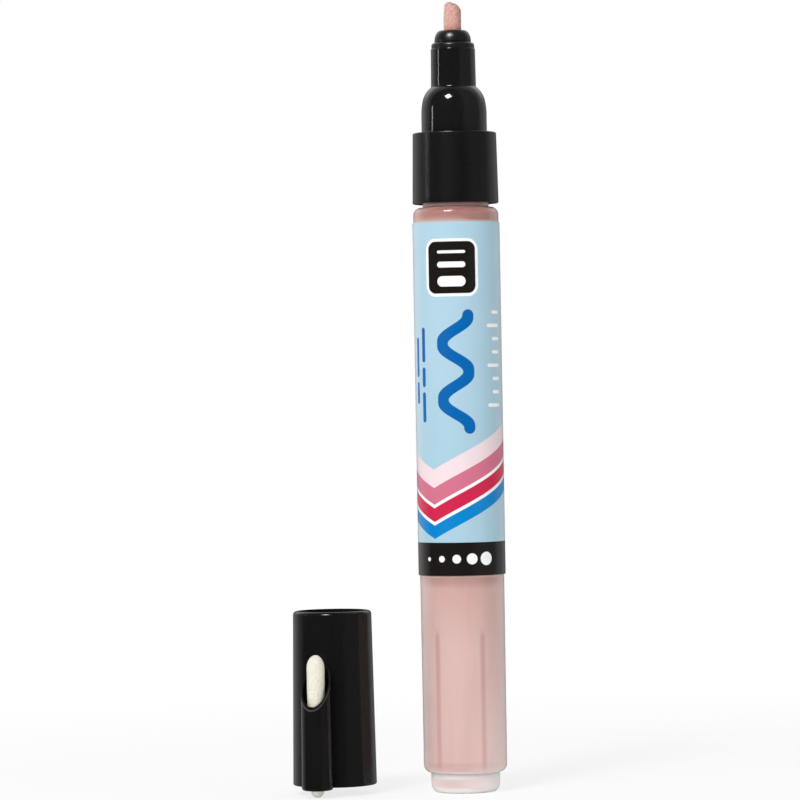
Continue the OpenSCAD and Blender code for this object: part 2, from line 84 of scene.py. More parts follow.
class Wiring:
    """Adds and joins the nodes of one shader tree.

    The mix inputs are the numbers of a Mix node's share and its two colours.
    """

    mix_inputs = (0, 6, 7)

    def __init__(self, tree: NodeTree) -> None:
        """Empties and keeps the tree that the nodes go into."""
        tree.nodes.clear()
        self.tree = tree

    def add(self, kind: str, **settings: object) -> Node:
        """Adds a node.

        Args:
            kind: Blender's name of the node type, after ShaderNode.
            settings: Properties to set on the node.

        Returns:
            The new node.
        """
        node = self.tree.nodes.new("ShaderNode" + kind)
        for name, value in settings.items():
            setattr(node, name, value)
        return node

    def feed(self, socket: Socket, value: Value) -> None:
        """Links a socket into another one, or sets its value where that is plain.

        Args:
            socket: The input to feed.
            value: An output to link, or a number or colour.
        """
        if isinstance(value, Socket):
            self.tree.links.new(value, socket)
        else:
            socket.default_value = value

    def fill(self, node: Node, *values: Value, **named: Value) -> Node:
        """Feeds several inputs of a node.

        Args:
            node: The node.
            values: What its inputs get in order, from the first on.
            named: What its inputs get by their names, with _ for each space.

        Returns:
            The node.
        """
        for socket, value in zip(node.inputs, values):
            self.feed(socket, value)
        for name, value in named.items():
            self.feed(node.inputs[name.replace("_", " ")], value)
        return node

    def calc(self, operation: str, *values: Value) -> Socket:
        """Gives the result of a Math node, by Blender's name of its operation."""
        return self.fill(self.add("Math", operation=operation), *values).outputs[0]

    def times(self, first: Value, second: Value) -> Socket:
        """Multiplies two values."""
        return self.calc("MULTIPLY", first, second)

    def minus(self, first: Value, second: Value) -> Socket:
        """Takes the second value from the first."""
        return self.calc("SUBTRACT", first, second)

    def fade(self, value: Value, start: float, end: float) -> Socket:
        """Rises smoothly from 0 where a value is start to 1 where it is end, on either side."""
        node = self.add("MapRange", interpolation_type="SMOOTHSTEP")
        return self.fill(node, Value=value, From_Min=start, From_Max=end).outputs["Result"]

    def between(self, value: Value, rise: Span, fall: Span) -> Socket:
        """Rises from 0 to 1 over one span of a value and falls back over a later one."""
        return self.times(self.fade(value, *rise), self.fade(value, fall[1], fall[0]))

    def near(self, value: Value, place: float, full: float, none: float) -> Socket:
        """Gives 1 while a value is within full of a place, and 0 once it is none away."""
        away = self.calc("ABSOLUTE", self.minus(value, place))
        return self.fade(away, none, full)

    def spread(self, value: Value, low: float, high: float) -> Socket:
        """Stretches a value between 0 and 1 to lie between low and high."""
        node = self.add("MapRange")
        return self.fill(node, Value=value, To_Min=low, To_Max=high).outputs["Result"]

    def blend(self, share: Value, first: Value, second: Value) -> Socket:
        """Mixes two colours.

        Args:
            share: How much of the second colour shows.
            first: The colour at 0.
            second: The colour at 1.

        Returns:
            The mixed colour.
        """
        node = self.add("Mix", data_type="RGBA")
        for index, value in zip(self.mix_inputs, (share, first, second)):
            self.feed(node.inputs[index], value)
        return node.outputs[2]

    def lay(self, body: Value, shade: Rgba, mask: Value, share: float) -> Socket:
        """Lays a shade over a body, to the given share where a mask is 1."""
        return self.blend(self.times(mask, share), body, shade)

    def choose(self, share: Value, first: Socket, second: Socket) -> Socket:
        """Mixes two shaders, from the first at share 0 to the second at share 1."""
        return self.fill(self.add("MixShader"), share, first, second).outputs[0]

    def noise(self, place: Value, scale: Value, detail: float, distortion: float = 0.0) -> Socket:
        """Gives a cloudy value between 0 and 1 at a place."""
        settings = {"Scale": scale, "Detail": detail, "Distortion": distortion}
        return self.fill(self.add("TexNoise"), Vector=place, **settings).outputs["Fac"]

    def place(self, space: str = "Object") -> Socket:
        """Gives a place, by default in the piece's own space."""
        return self.add("TexCoord").outputs[space]

    def axes(self, space: str = "Object") -> list[Socket]:
        """Gives the three coordinates of a place."""
        return list(self.fill(self.add("SeparateXYZ"), self.place(space)).outputs)

    def turn(self, across: Value, deep: Value) -> Socket:
        """Gives the degrees from the front, -Y, toward +X."""
        front = self.times(deep, -1.0)
        return self.calc("DEGREES", self.calc("ARCTAN2", across, front))

    def length(self, across: Value, along: Value) -> Socket:
        """Gives the length of a step that has two parts at a right angle."""
        square = self.times(along, along)
        return self.calc("SQRT", self.calc("MULTIPLY_ADD", across, across, square))

    def stretched(self, along: float = 1.0) -> Socket:
        """Gives a place on the piece with its height scaled, so that marks run along it."""
        scale = (1, 1, along)
        return self.fill(self.add("Mapping"), self.place(), Scale=scale).outputs["Vector"]

    def facing(self) -> Socket:
        """Gives 0 where a piece faces the view and 1 at its rim."""
        return self.fill(self.add("LayerWeight"), Blend=0.5).outputs["Facing"]

    def bumps(self, height: Value, depth: float, strength: float = 1.0) -> Socket:
        """Gives a normal that is roughened by a height map of the given depth."""
        node = self.add("Bump")
        return self.fill(node, Height=height, Distance=depth, Strength=strength).outputs["Normal"]

    def group(self, effect: "type[Effect]", **inputs: Value) -> Sockets:
        """Places a shared effect.

        Args:
            effect: The effect.
            inputs: Values for its inputs, by their names with _ for each space.

        Returns:
            The effect's outputs.
        """
        return self.fill(self.add("Group", node_tree=effect.make()), **inputs).outputs


class Effect:
    """An effect that several finishes share, made once as a node group of numbers."""

    inputs: dict[str, float] = {}
    outputs: tuple[str, ...]

    @classmethod
    def make(cls) -> NodeTree:
        """Makes the effect's node group where there is none yet.

        Returns:
            The node group.
        """
        name = cls.__name__
        if name in bpy.data.node_groups:
            return bpy.data.node_groups[name]
        tree = bpy.data.node_groups.new(name, "ShaderNodeTree")
        number = {"socket_type": "NodeSocketFloat"}
        for label, default in cls.inputs.items():
            tree.interface.new_socket(label, in_out="INPUT", **number).default_value = default
        for label in cls.outputs:
            tree.interface.new_socket(label, in_out="OUTPUT", **number)
        w = Wiring(tree)
        given = tree.nodes.new("NodeGroupInput").outputs
        w.fill(tree.nodes.new("NodeGroupOutput"), *cls.wire(w, given))
        return tree

    @classmethod
    def wire(cls, w: Wiring, given: Sockets) -> tuple[Socket, ...]:
        """Builds the nodes of this effect.

        Args:
            w: The wiring to build in.
            given: The group's inputs.

        Returns:
            The group's outputs in order.
        """
        raise NotImplementedError


class RoundWall(Effect):
    """The place on a piece round the pen's axis: its turn from the front and its height."""

    outputs = ("Turn", "Height")

    @classmethod
    def wire(cls, w: Wiring, given: Sockets) -> tuple[Socket, ...]:
        """Turns the piece's coordinates into a turn and a height; see Effect.wire."""
        across, deep, height = w.axes()
        return w.turn(across, deep), height


class Moulded(Effect):
    """A moulding's fine grain and its slow, cloudy unevenness."""

    inputs = {"Grain Scale": 9000.0, "Cloud Scale": 160.0}
    outputs = ("Grain", "Cloud")

    @classmethod
    def wire(cls, w: Wiring, given: Sockets) -> tuple[Socket, ...]:
        """Lays fine noise and slow, upright noise over the piece; see Effect.wire."""
        grain = w.noise(w.stretched(), given["Grain Scale"], detail=3.0)
        cloud = w.noise(w.stretched(along=0.35), given["Cloud Scale"], detail=4.0)
        return grain, cloud


class Handling(Effect):
    """The hairline scratches and specks of dust that handling leaves, as two masks."""

    outputs = ("Scratch", "Dust")
    line_scale = 900.0
    line_span: Span = (0.62, 0.74)
    patch_scale = 220.0
    patch_span: Span = (0.5, 0.72)
    speck_scale = 3500.0
    speck_span: Span = (0.09, 0.03)

    @classmethod
    def wire(cls, w: Wiring, given: Sockets) -> tuple[Socket, ...]:
        """Draws upright lines in patches, and scatters specks; see Effect.wire."""
        lines = w.noise(w.stretched(along=0.03), cls.line_scale, detail=6.0)
        patches = w.noise(w.stretched(), cls.patch_scale, detail=2.0)
        specks = w.add("TexVoronoi")
        w.fill(specks, Vector=w.stretched(), Scale=cls.speck_scale)
        lines, patches = w.fade(lines, *cls.line_span), w.fade(patches, *cls.patch_span)
        dust = w.fade(specks.outputs["Distance"], *cls.speck_span)
        return w.times(lines, patches), dust


class Felt(Effect):
    """A felt rod's bundled fibres and the pits between them."""

    outputs = ("Fibre", "Pit")
    fibre_scale = 6200.0
    fibre_span: Span = (0.36, 0.64)
    pit_scale = 5200.0
    pit_span: Span = (0.55, 0.68)

    @classmethod
    def wire(cls, w: Wiring, given: Sockets) -> tuple[Socket, ...]:
        """Draws strands along the rod and pits between them; see Effect.wire."""
        place = w.stretched(along=0.5)
        strands = w.noise(place, cls.fibre_scale, detail=4.0, distortion=0.4)
        pits = w.noise(w.stretched(along=0.55), cls.pit_scale, detail=3.0)
        return w.fade(strands, *cls.fibre_span), w.fade(pits, *cls.pit_span)


class Finish:
    """A material with a Principled shader, which each kind of finish wires up."""

    name: str

    def start(self) -> tuple[Wiring, Node]:
        """Makes the bare material.

        Returns:
            Its wiring and its Principled shader.
        """
        material = bpy.data.materials.new(self.name)
        material.use_nodes = True
        w = Wiring(material.node_tree)
        shader = w.add("BsdfPrincipled")
        w.fill(w.add("OutputMaterial"), Surface=shader.outputs["BSDF"])
        return w, shader

    def make(self) -> Material:
        """Makes the material where there is none of this name yet.

        Returns:
            The material.
        """
        if self.name not in bpy.data.materials:
            self.wire()
        return bpy.data.materials[self.name]

    def painted_light(self, w: Wiring, body: Socket) -> Socket:
        """Lays painted light over a piece's colour; a plain piece has none.

        Args:
            w: The wiring to build in.
            body: The colour so far.

        Returns:
            The colour with the painted light.
        """
        return body

    def wire(self) -> None:
        """Builds the nodes of this finish."""
        raise NotImplementedError


@dataclass(frozen=True)
class BlackPlastic(Finish):
    """Moulded black plastic, from satin to high gloss."""

    name: str
    shade: Rgba
    roughness: float
    grain_depth: float
    mirror: float = 0.5
    cloud_gain: float = 2.2
    cloud_roughness: Span = (0.9, 1.12)
    scratch_roughness: float = 0.12
    dust: Rgba = (0.3, 0.29, 0.28, 1.0)

    def wire(self) -> None:
        """Builds a dark body with a faint cloud, grain, handling marks and any painted light."""
        w, shader = self.start()
        skin, marks = w.group(Moulded), w.group(Handling)
        lighter = tuple(self.cloud_gain * part for part in self.shade[:3]) + (1.0,)
        body = self.painted_light(w, w.blend(skin["Cloud"], self.shade, lighter))
        low, high = (share * self.roughness for share in self.cloud_roughness)
        scratched = w.times(marks["Scratch"], self.scratch_roughness)
        w.fill(
            shader,
            Base_Color=w.lay(body, self.dust, marks["Dust"], share=0.05),
            Roughness=w.calc("ADD", w.spread(skin["Cloud"], low, high), scratched),
            Specular_IOR_Level=self.mirror,
            Normal=w.bumps(skin["Grain"], self.grain_depth),
        )


@dataclass(frozen=True)
class CapPlastic(BlackPlastic):
    """The cap's black plastic, with a painted highlight line along the side tube's slanted mouth.

    The line's span is in widths of the line, from the edge.
    """

    axis_x: float = -22.8 * MM
    tube_turn: float = 18.5
    tube_at: float = 9.08 * MM
    tube_r: float = 2.61 * MM
    lip_z: float = 15.25 * MM
    slope: float = 58.0
    lip_highlight: Rgba = (0.055, 0.054, 0.052, 1.0)
    width: float = 0.07 * MM
    line_span: Span = (-1.3, -0.8)
    front_span: Span = (-0.3 * MM, 0.3 * MM)

    def painted_light(self, w: Wiring, body: Socket) -> Socket:
        """Paints a highlight line where the mouth's plane meets the tube; see the base class."""
        x, y, z = w.axes()
        aim, slope = math.radians(self.tube_turn), math.radians(self.slope)
        out = w.calc("MULTIPLY_ADD", x, -math.sin(aim), self.axis_x * math.sin(aim))
        out = w.calc("MULTIPLY_ADD", y, -math.cos(aim), w.minus(out, self.tube_at))
        side = w.calc("MULTIPLY_ADD", x, math.cos(aim), -self.axis_x * math.cos(aim))
        side = w.calc("MULTIPLY_ADD", y, -math.sin(aim), side)
        lip = self.lip_z + self.tube_r * math.tan(slope)
        level = w.minus(w.calc("MULTIPLY_ADD", out, math.tan(slope), z), lip)
        start, end = (share * self.width for share in self.line_span)
        by_plane = w.fade(w.times(level, math.cos(slope)), start, end)
        by_wall = w.fade(w.length(out, side), self.tube_r + start, self.tube_r + end)
        line = w.times(by_plane, by_wall)
        # Painted highlight line along the edge of the mouth.
        return w.blend(w.times(line, w.fade(out, *self.front_span)), body, self.lip_highlight)


@dataclass(frozen=True)
class PaleMoulding(Finish):
    """Natural pale plastic that light sinks into a little."""

    name: str
    shade: Rgba
    deep: Rgba
    roughness: float = 0.34
    glow: float = 0.15
    rim: float = 0.0
    rim_lit_shade: Rgba = paint(255, 239, 237)
    rim_span: Span = (0.1, 0.7)
    deep_span: Span = (0.3, 0.75)
    dust: Rgba = (0.35, 0.32, 0.3, 1.0)
    light_reach: Place = (2.4 * MM, 1.8 * MM, 1.6 * MM)

    def wire(self) -> None:
        """Builds a milky body with slow clouds, fine grain and a paler rim of painted light."""
        w, shader = self.start()
        skin, marks = w.group(Moulded, Cloud_Scale=220.0), w.group(Handling)
        body = w.blend(w.fade(skin["Cloud"], *self.deep_span), self.shade, self.deep)
        # Painted rim light makes the rim paler toward the silhouette.
        body = w.lay(body, self.rim_lit_shade, w.fade(w.facing(), *self.rim_span), self.rim)
        w.fill(
            shader,
            Base_Color=w.lay(self.painted_light(w, body), self.dust, marks["Dust"], share=0.06),
            Roughness=w.spread(skin["Cloud"], self.roughness - 0.05, self.roughness + 0.06),
            Specular_IOR_Level=0.3,
            Subsurface_Weight=self.glow,
            Subsurface_Radius=self.light_reach,
            Subsurface_Scale=1.0,
            Normal=w.bumps(skin["Grain"], depth=0.002 * MM),
        )


@dataclass(frozen=True)
class PaleTail(PaleMoulding):
    """A pale round end with painted light at its foot, its upper edge and its right side."""

    lit_shade: Rgba = paint(255, 245, 243)
    foot: Span = (1.4 * MM, 0.3 * MM)
    top: Span = (2.2 * MM, 3.1 * MM)
    right: Spans = ((-20.0, 50.0), (120.0, 150.0))
    end_share: float = 0.85
    right_share: float = 0.65

    def painted_light(self, w: Wiring, body: Socket) -> Socket:
        """Lays painted light on the foot, upper edge and right side; see the base class."""
        wall = w.group(RoundWall)
        ends = (w.fade(wall["Height"], *span) for span in (self.foot, self.top))
        ends = w.times(w.calc("MAXIMUM", *ends), self.end_share)
        right = w.times(w.between(wall["Turn"], *self.right), self.right_share)
        return w.blend(w.calc("MAXIMUM", ends, right), body, self.lit_shade)


@dataclass(frozen=True)
class PaintedBarrel(Finish):
    """A translucent barrel whose inside is coated with pink paint."""

    name: str = "paint_filled_barrel"
    middle: Rgba = paint(217, 187, 182)
    top: Rgba = paint(206, 171, 164)
    shoulder: Rgba = paint(168, 125, 118)
    neck: Rgba = paint(255, 200, 190)
    collar_shade: Rgba = paint(146, 62, 54)
    film_edge: Rgba = paint(226, 194, 182)
    rib: Rgba = paint(193, 147, 145)
    side_shade_and_plug_edge: Rgba = paint(200, 167, 164)
    clear: Rgba = paint(224, 202, 198)
    lit: Rgba = paint(248, 228, 224)
    plug: Rgba = paint(224, 196, 194)
    light_reach: Place = (3.5 * MM, 2.2 * MM, 1.9 * MM)

    top_heights: Span = (22 * MM, 37.85 * MM)
    shaded_turns: Spans = ((25.3, 35.3), (100.0, 130.0))
    streak_span: Span = (0.45, 0.75)
    rim_span: Span = (0.2, 0.75)
    label_heights: Span = (37.85 * MM, 99.1 * MM)
    label_rims: Span = (0.75, 0.4)

    raised_turns: Span = (0.0, 40.0)
    raised_by: float = MM
    shoulder_heights: Span = (99 * MM, 100.3 * MM)
    under_collar: Span = (100.3 * MM, 101.8 * MM)
    neck_heights: Span = (101.7 * MM, 102.1 * MM)
    in_collar: Span = (101.95 * MM, 102.55 * MM)

    under_film: Spans = ((35.25 * MM, 36.95 * MM), (37.85 * MM, 39.85 * MM))
    film_edges: Span = (99.2 * MM, 37.65 * MM)

    plug_heights: Span = (4.7 * MM, 3.9 * MM)
    plug_edge: float = 4.9 * MM
    lip_heights: Span = (4.1 * MM, 3.5 * MM)
    low_heights: Span = (26 * MM, 4 * MM)
    lit_right_turns: Spans = ((-10.0, 50.0), (110.0, 140.0))
    lit_right_share: float = 0.45
    lip_share: float = 0.85
    rib_turns: tuple[float, ...] = (-38.6, 26.3, 122.5, -147.5)
    rib_heights: Spans = ((3.6 * MM, 5 * MM), (27 * MM, 29 * MM))
    rib_shares: Span = (0.64, 0.45)

    def wire(self) -> None:
        """Builds the paint's tint, what shows through, the clear rim, painted light and shade."""
        w, shader = self.start()
        wall, skin = w.group(RoundWall), w.group(Moulded, Cloud_Scale=90.0)
        height, turn = wall["Height"], wall["Turn"]
        body = w.blend(w.fade(height, *self.top_heights), self.middle, self.top)
        # Painted shade darkens the right side.
        body = w.lay(body, self.side_shade_and_plug_edge, w.between(turn, *self.shaded_turns), share=0.25)
        # Painted shade darkens the shoulder toward the collar; painted light makes the neck pale.
        raised = w.calc("MULTIPLY_ADD", w.fade(turn, *self.raised_turns), self.raised_by, height)
        body = w.blend(w.fade(raised, *self.shoulder_heights), body, self.shoulder)
        body = w.lay(body, self.collar_shade, w.fade(height, *self.under_collar), share=0.35)
        body = w.blend(w.fade(height, *self.neck_heights), body, self.neck)
        # The collar's painted shadow falls on the neck's upper part.
        body = w.lay(body, self.collar_shade, w.fade(height, *self.in_collar), share=0.8)
        # Painted shadow under the label's foot, and a pale line along both of its edges.
        body = w.lay(body, self.shoulder, w.between(height, *self.under_film), share=0.5)
        for level in self.film_edges:
            line = w.near(height, level, full=0.08 * MM, none=0.24 * MM)
            body = w.lay(body, self.film_edge, line, share=0.7)
        streaks = w.noise(w.stretched(along=0.12), scale=420.0, detail=3.0)
        body = w.lay(body, self.rib, w.fade(streaks, *self.streak_span), share=0.16)
        # The plug shows through the rear wall, with a darker edge.
        body = w.lay(body, self.plug, w.fade(height, *self.plug_heights), share=0.6)
        edge = w.near(height, self.plug_edge, full=0.2 * MM, none=0.9 * MM)
        body = w.lay(body, self.side_shade_and_plug_edge, edge, share=0.55)
        # The clear wall's rim is painted paler toward the silhouette, a painted sheen.
        bare = w.spread(w.fade(height, *self.label_heights), *self.label_rims)
        body = w.blend(w.times(w.fade(w.facing(), *self.rim_span), bare), body, self.clear)
        # Painted light brightens the lip and the lower right, and the ribs show over it.
        low = w.fade(height, *self.low_heights)
        lit_right = w.times(w.times(low, w.between(turn, *self.lit_right_turns)), self.lit_right_share)
        lip = w.times(w.fade(height, *self.lip_heights), self.lip_share)
        body = w.blend(w.calc("MAXIMUM", lit_right, lip), body, self.lit)
        ribs: Value = 0.0
        for place in self.rib_turns:
            ribs = w.calc("MAXIMUM", ribs, w.near(turn, place, full=1.2, none=5.8))
        ribs = w.times(ribs, w.between(height, *self.rib_heights))
        ribs = w.times(ribs, w.spread(low, *self.rib_shares))
        w.fill(
            shader,
            Base_Color=w.blend(ribs, body, self.rib),
            Roughness=w.spread(skin["Cloud"], low=0.1, high=0.18),
            Specular_IOR_Level=0.5,
            Subsurface_Weight=0.7,
            Subsurface_Radius=self.light_reach,
            Subsurface_Scale=1.0,
            Normal=w.bumps(skin["Grain"], depth=0.0025 * MM),
        )


class Ink(Enum):
    """Inks of the printed label."""

    FILM = paint(162, 198, 215)
    DEEP_BLUE = paint(0, 97, 170)
    MID_BLUE = paint(0, 130, 200)
    WHITE = paint(245, 246, 246)
    CRIMSON = paint(204, 36, 76)
    PINK = paint(207, 112, 137)
    BLUSH = paint(236, 216, 220)
    BLACK = paint(27, 23, 21)


@dataclass(frozen=True)
class Dash:
    """A stroke or a block with round corners, at a place on the label in millimetres."""

    ink: Ink
    across: Span
    up: Span
    half_width: float

    def distance(self, w: Wiring, across: Value, up: Value) -> Socket:
        """Gives how far a place lies outside the stroke.

        Args:
            w: The wiring to build in.
            across: Millimetres round the label from its front.
            up: Millimetres above the label's foot.

        Returns:
            The distance, negative inside.
        """
        asides = []
        for value, (low, high) in ((across, self.across), (up, self.up)):
            nearest: Value = low
            if high > low:
                nearest = w.calc("MINIMUM", w.calc("MAXIMUM", value, low), high)
            asides.append(w.minus(value, nearest))
        return w.minus(w.length(*asides), self.half_width)


@dataclass(frozen=True)
class Wave:
    """A waving stroke up the label, as a marker would draw it."""

    ink: Ink
    centre: float
    up: Span
    reach: float
    pitch: float
    half_width: float

    def distance(self, w: Wiring, across: Value, up: Value) -> Socket:
        """Gives how far a place lies outside the wave; see Dash.distance."""
        rate = 2 * math.pi / self.pitch
        turn = w.times(w.minus(up, self.up[0]), rate)
        line = w.calc("MULTIPLY_ADD", w.calc("COSINE", turn), self.reach, self.centre)
        slope = w.times(w.calc("SINE", turn), rate * self.reach)
        slant = w.calc("SQRT", w.calc("MULTIPLY_ADD", slope, slope, 1.0))
        aside = w.calc("DIVIDE", w.calc("ABSOLUTE", w.minus(across, line)), slant)
        below, above = w.minus(self.up[0], up), w.minus(up, self.up[1])
        outside = w.minus(aside, self.half_width)
        return w.calc("MAXIMUM", outside, w.calc("MAXIMUM", below, above))


@dataclass(frozen=True)
class Chevron:
    """A band that rises as a wide V and meets itself half-way round the label."""

    ink: Ink
    centre: float
    up: Span
    slope: float
    half_round: float = math.pi * LABEL_R / MM

    def distance(self, w: Wiring, across: Value, up: Value) -> Socket:
        """Gives how far a place lies outside the band; see Dash.distance."""
        aside = w.calc("PINGPONG", w.minus(across, self.centre), self.half_round)
        level = w.calc("MULTIPLY_ADD", aside, -self.slope, up)
        middle, half = (self.up[0] + self.up[1]) / 2, (self.up[1] - self.up[0]) / 2
        away = w.calc("ABSOLUTE", w.minus(level, middle))
        return w.minus(away, half)


Motif = Dash | Wave | Chevron


@dataclass(frozen=True)
class PrintedFilm(Finish):
    """The label: glossy pale-blue film with a plain generic print."""

    name: str = "printed_film"
    foot: float = 37.85 * MM
    softness: float = 0.05
    glare: Rgba = paint(232, 242, 250)
    glare_span: Span = (0.35, 0.95)

    @staticmethod
    def motifs() -> list[Motif]:
        """Lists the print from the bottom layer up.

        Returns:
            The motifs, in millimetres round the label and above its foot.
        """
        bands = (
            (Ink.BLUSH, 15.2, 18.4), (Ink.PINK, 12.3, 15.2), (Ink.WHITE, 11.7, 12.3),
            (Ink.CRIMSON, 9.3, 11.7), (Ink.WHITE, 8.7, 9.3), (Ink.MID_BLUE, 6.4, 8.7),
        )
        made: list[Motif] = []
        for ink, low, high in bands:
            made.append(Chevron(ink, centre=-5.0, up=(low, high), slope=0.52))
        # The wave has round ends at its crests.
        crest, ends = 1.7, (25.5, 45.0)
        made.append(Wave(Ink.DEEP_BLUE, centre=-0.6, up=ends, reach=2.3, pitch=9.75, half_width=1))
        made.extend(Dash(Ink.DEEP_BLUE, (crest, crest), (end, end), half_width=1.0) for end in ends)
        # A scale of ticks stands on its right, and two rows of dashes on its left.
        tick_end, tick_foot, tick_step, short, long = 8.4, 29.4, 2.3, 1.5, 2.7
        for tick in range(8):
            start, level = tick_end - (short if tick % 3 else long), tick_foot + tick_step * tick
            made.append(Dash(Ink.WHITE, (start, tick_end), (level, level), half_width=0.3))
        gap = 1.7
        for row, low, runs in ((-7.0, 27.0, (4.4, 2.6, 5.2)), (-8.9, 30.2, (3.0, 6.0))):
            for run in runs:
                made.append(Dash(Ink.DEEP_BLUE, (row, row), (low, low + run), half_width=0.42))
                low += run + gap
        # The plate above has a white edge and three bars.
        plate, left, right = ((-4.0, 1.8), (50.2, 56.4)), -3.6, 1.4
        made.append(Dash(Ink.WHITE, *plate, half_width=1.9))
        made.append(Dash(Ink.BLACK, *plate, half_width=1.4))
        for level, half in ((56.0, 0.25), (53.8, 0.5), (50.9, 0.9)):
            made.append(Dash(Ink.WHITE, (left + half, right - half), (level, level), half))
        # The dark band at the foot runs all round, with a row of growing dots.
        made.append(Dash(Ink.BLACK, across=(-60.0, 60.0), up=(-10.0, 5.2), half_width=0.55))
        first, step, level, smallest, growth = -6.4, 2.7, 2.9, 0.35, 0.2
        for index in range(5):
            place, size = first + step * index, smallest + growth * index
            made.append(Dash(Ink.WHITE, (place, place), (level, level), half_width=size))
        return made

    def wire(self) -> None:
        """Builds the film, its glare, its print and the waves of a film wrapped by machine."""
        w, shader = self.start()
        wall, skin = w.group(RoundWall), w.group(Moulded, Cloud_Scale=70.0)
        across = w.times(wall["Turn"], math.radians(1) * LABEL_R / MM)
        up = w.calc("DIVIDE", w.minus(wall["Height"], self.foot), MM)
        cloud = w.spread(skin["Cloud"], low=0.0, high=0.12)
        tint = w.blend(cloud, Ink.FILM.value, Ink.WHITE.value)
        tint = w.lay(tint, self.glare, w.fade(w.facing(), *self.glare_span), share=0.5)
        for motif in self.motifs():
            inside = w.fade(motif.distance(w, across, up), self.softness, -self.softness)
            tint = w.blend(inside, tint, motif.ink.value)
        waves = w.noise(w.stretched(along=0.25), scale=260.0, detail=1.0)
        w.fill(
            shader,
            Base_Color=tint,
            Roughness=w.spread(skin["Cloud"], low=0.12, high=0.18),
            Normal=w.bumps(waves, depth=0.02 * MM, strength=0.5),
        )


@dataclass(frozen=True)
class FeltRod(Finish):
    """A felt nib, dry or wet with paint, of another colour at its root.

    It has a fleck if the fleck's X and height are given. The root is darker on a wet nib and is
    painted light on a dry nib's foot. If a lit left shade is given, the rod has painted light
    on its left and painted shade on its right.
    """

    name: str
    light: Rgba
    fibre: Rgba
    pit_and_side_shade: Rgba
    root: Rgba
    root_heights: Span
    roughness: float
    fleck: Span | None = None
    fleck_span: Span = (0.3 * MM, 0.14 * MM)
    lit_left: Rgba | None = None
    lit_left_turns: Span = (-25.0, -75.0)
    shaded_right_turns: Spans = ((0.0, 70.0), (110.0, 150.0))
    pit_depth: float = 0.8

    def wire(self) -> None:
        """Builds bundled fibres, pits, the root, a fleck and painted sides if asked for."""
        w, shader = self.start()
        wall, felt = w.group(RoundWall), w.group(Felt)
        body = w.blend(felt["Fibre"], self.fibre, self.light)
        body = w.lay(body, self.pit_and_side_shade, felt["Pit"], share=0.75)
        # The root's colour is darker on the wet nib and painted light on the dry nib's foot.
        body = w.lay(body, self.root, w.fade(wall["Height"], *self.root_heights), share=0.85)
        if self.fleck:
            x, _, z = w.axes()
            aside, above = (w.minus(*pair) for pair in zip((x, z), self.fleck))
            away = w.length(aside, above)
            body = w.lay(body, self.pit_and_side_shade, w.fade(away, *self.fleck_span), share=0.8)
        # Painted shade on the right side and painted light on the left.
        if self.lit_left:
            body = w.lay(body, self.pit_and_side_shade, w.between(wall["Turn"], *self.shaded_right_turns), share=0.25)
            body = w.lay(body, self.lit_left, w.fade(wall["Turn"], *self.lit_left_turns), share=0.35)
        pits = w.times(felt["Pit"], self.pit_depth)
        height = w.minus(felt["Fibre"], pits)
        w.fill(
            shader,
            Base_Color=body,
            Roughness=w.spread(felt["Fibre"], self.roughness + 0.1, self.roughness - 0.08),
            Normal=w.bumps(height, depth=0.05 * MM, strength=0.8),
        )


@dataclass(frozen=True)
class Rubber(Finish):
    """Dark gasket rubber with a dull bloom."""

    name: str
    shade: Rgba
    bloom: Rgba
    bloom_span: Span = (0.45, 0.8)

    def wire(self) -> None:
        """Builds a matt body with a cloudy bloom."""
        w, shader = self.start()
        skin = w.group(Moulded, Cloud_Scale=700.0)
        w.fill(
            shader,
            Base_Color=w.blend(w.fade(skin["Cloud"], *self.bloom_span), self.shade, self.bloom),
            Roughness=w.spread(skin["Cloud"], low=0.55, high=0.75),
            Normal=w.bumps(skin["Grain"], depth=0.006 * MM),
        )


@dataclass(frozen=True)
class Steel(Finish):
    """Bright steel with drawn or tumbled marks."""

    name: str
    shade: Rgba
    roughness: float
    grain_scale: float
    cloud_gain: float = 0.72
    grain_roughness: Span = (0.6, 1.5)

    def wire(self) -> None:
        """Builds a metal with fine marks in its gloss."""
        w, shader = self.start()
        skin = w.group(Moulded, Grain_Scale=self.grain_scale, Cloud_Scale=600.0)
        darker = tuple(self.cloud_gain * part for part in self.shade[:3]) + (1.0,)
        low, high = (share * self.roughness for share in self.grain_roughness)
        w.fill(
            shader,
            Base_Color=w.blend(skin["Cloud"], self.shade, darker),
            Metallic=1.0,
            Roughness=w.spread(skin["Grain"], low, high),
            Normal=w.bumps(skin["Grain"], depth=0.002 * MM),
        )


@dataclass(frozen=True)
class FloorPaint(Finish):
    """A pale floor that stays white to the camera and keeps a soft shadow."""

    name: str = "floor_paint"
    shade: Rgba = (0.97, 0.97, 0.97, 1.0)
    shadow_share: float = 0.22
    shadow_reach: Span = (60 * MM, 260 * MM)

    def wire(self) -> None:
        """Builds a diffuse floor that turns plain white to the camera away from the object."""
        w, shader = self.start()
        w.fill(shader, Base_Color=self.shade, Roughness=0.9, Specular_IOR_Level=0.0)
        away = w.fill(w.add("VectorMath", operation="LENGTH"), w.place())
        clean = w.fade(away.outputs["Value"], *self.shadow_reach)
        clean = w.spread(clean, 1.0 - self.shadow_share, 1.0)
        seen = w.times(w.add("LightPath").outputs["Is Camera Ray"], clean)
        glow = w.fill(w.add("Emission"), WHITE, 1.0)
        mixed = w.choose(seen, shader.outputs["BSDF"], glow.outputs["Emission"])
        output = next(node for node in w.tree.nodes if node.type == "OUTPUT_MATERIAL")
        w.fill(output, Surface=mixed)


